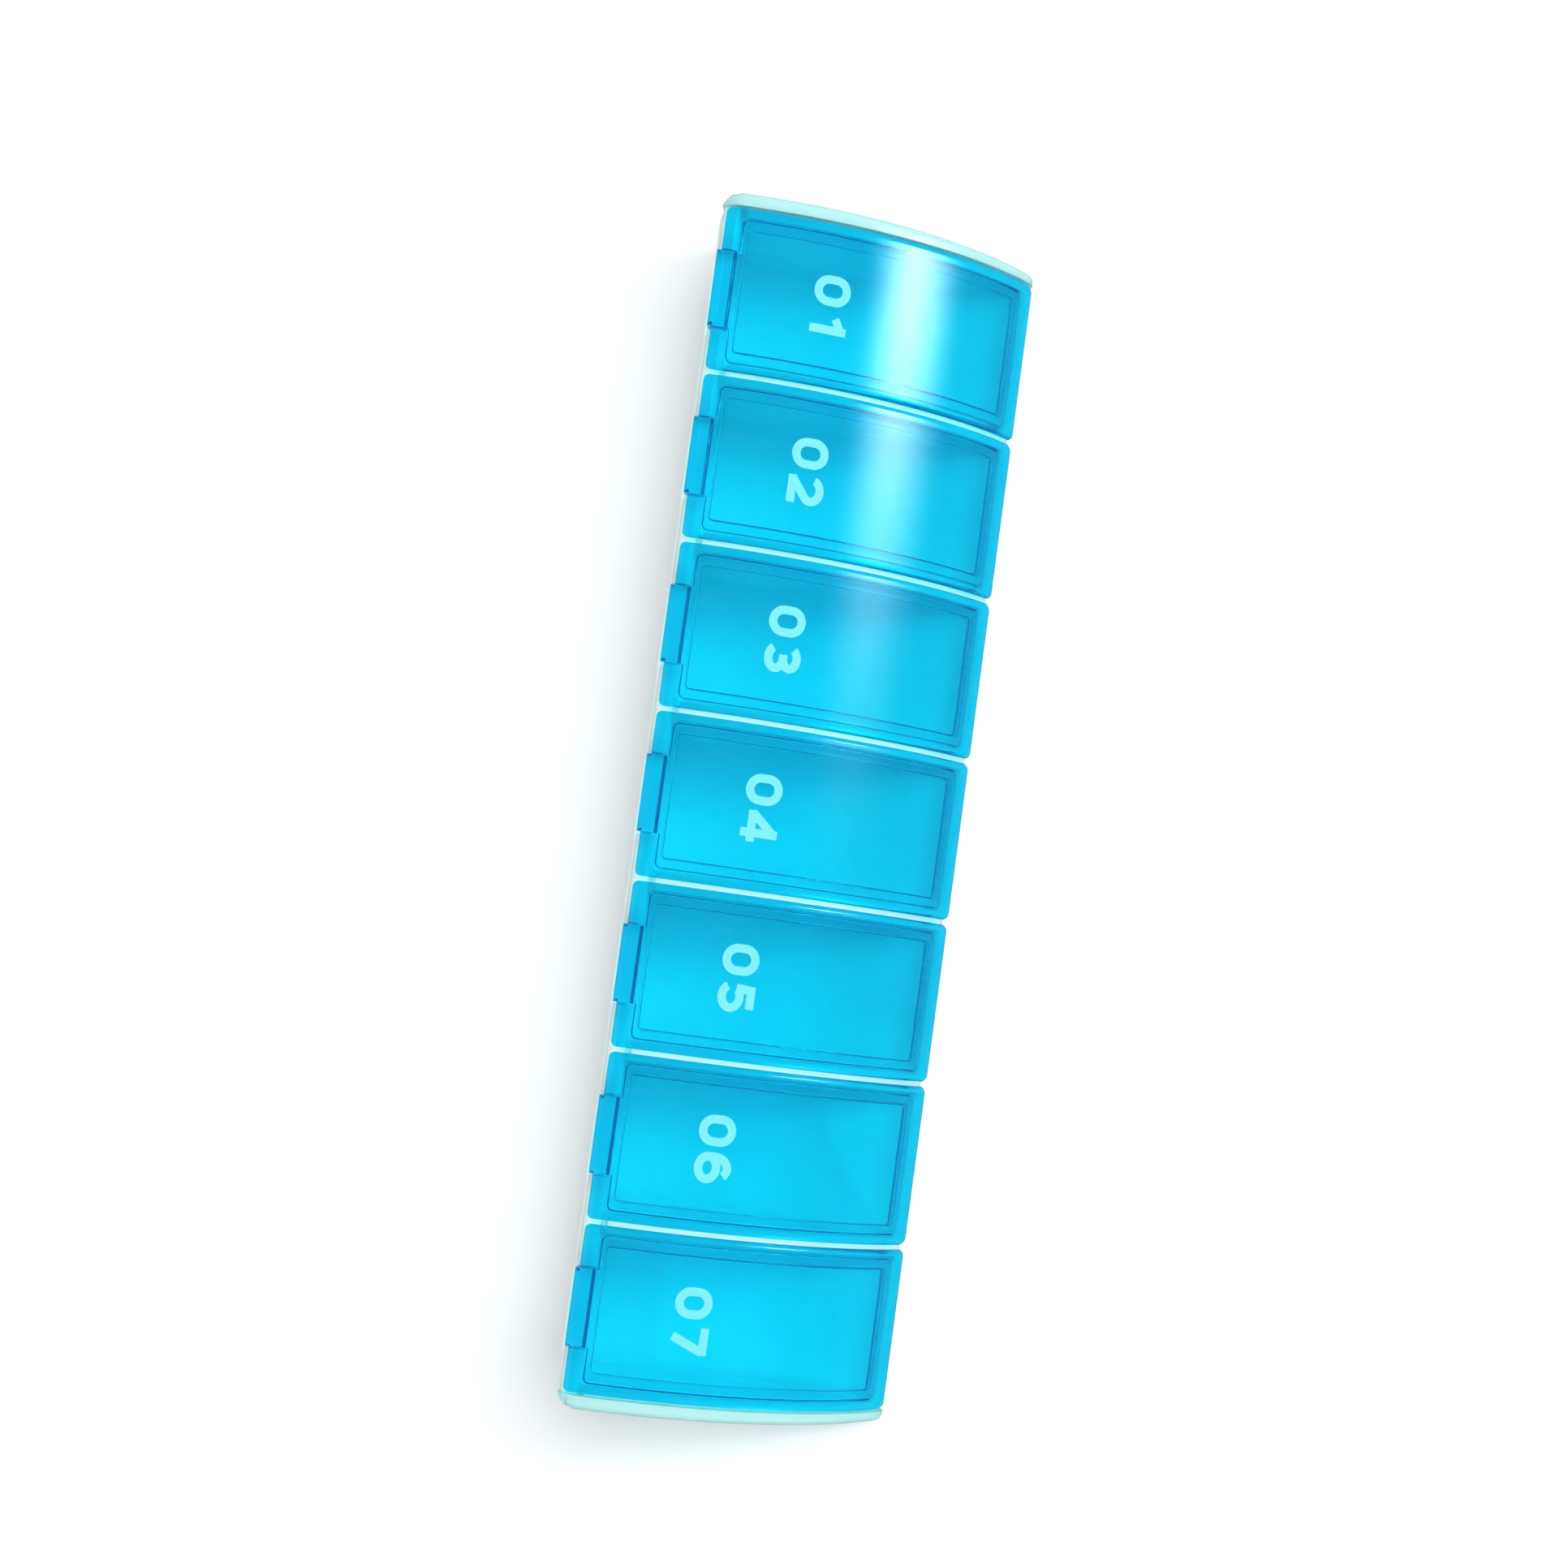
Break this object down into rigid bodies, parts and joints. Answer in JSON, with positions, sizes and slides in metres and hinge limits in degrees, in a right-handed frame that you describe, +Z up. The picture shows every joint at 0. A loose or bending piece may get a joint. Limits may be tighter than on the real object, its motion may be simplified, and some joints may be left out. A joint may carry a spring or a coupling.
{
  "type": "weekly pill case",
  "caption": "Single-row weekly pill case: a milky tray with a compartment for each day, each closed by its own curved see-through lid on a moulded hinge.",
  "frame": {"origin": "centre of the case's footprint, on the surface it stands on", "axes": "+X along the case towards the first day's lid, +Y towards the hinge side, +Z up"},
  "size_m": [0.1496, 0.0403, 0.025],
  "materials": {
    "milky_polypropylene": "satin",
    "clear_blue_polypropylene": "gloss"
  },
  "bodies": {
    "tray": {"base_tray": "milky_polypropylene"},
    "lid_1": {"day_lid_1": "clear_blue_polypropylene"},
    "lid_2": {"day_lid_2": "clear_blue_polypropylene"},
    "lid_3": {"day_lid_3": "clear_blue_polypropylene"},
    "lid_4": {"day_lid_4": "clear_blue_polypropylene"},
    "lid_5": {"day_lid_5": "clear_blue_polypropylene"},
    "lid_6": {"day_lid_6": "clear_blue_polypropylene"},
    "lid_7": {"day_lid_7": "clear_blue_polypropylene"}
  },
  "joints": [
    {"name": "lid_1_hinge", "type": "hinge", "parent": "tray", "child": "lid_1", "pos_m": [0.0627, 0.0184, 0.0223], "axis": [-1, 0, 0], "range_deg": [0, 115]},
    {"name": "lid_2_hinge", "type": "hinge", "parent": "tray", "child": "lid_2", "pos_m": [0.0418, 0.0184, 0.0223], "axis": [-1, 0, 0], "range_deg": [0, 115]},
    {"name": "lid_3_hinge", "type": "hinge", "parent": "tray", "child": "lid_3", "pos_m": [0.0209, 0.0184, 0.0223], "axis": [-1, 0, 0], "range_deg": [0, 115]},
    {"name": "lid_4_hinge", "type": "hinge", "parent": "tray", "child": "lid_4", "pos_m": [0, 0.0184, 0.0223], "axis": [-1, 0, 0], "range_deg": [0, 115]},
    {"name": "lid_5_hinge", "type": "hinge", "parent": "tray", "child": "lid_5", "pos_m": [-0.0209, 0.0184, 0.0223], "axis": [-1, 0, 0], "range_deg": [0, 115]},
    {"name": "lid_6_hinge", "type": "hinge", "parent": "tray", "child": "lid_6", "pos_m": [-0.0418, 0.0184, 0.0223], "axis": [-1, 0, 0], "range_deg": [0, 115]},
    {"name": "lid_7_hinge", "type": "hinge", "parent": "tray", "child": "lid_7", "pos_m": [-0.0627, 0.0184, 0.0223], "axis": [-1, 0, 0], "range_deg": [0, 115]}
  ]
}
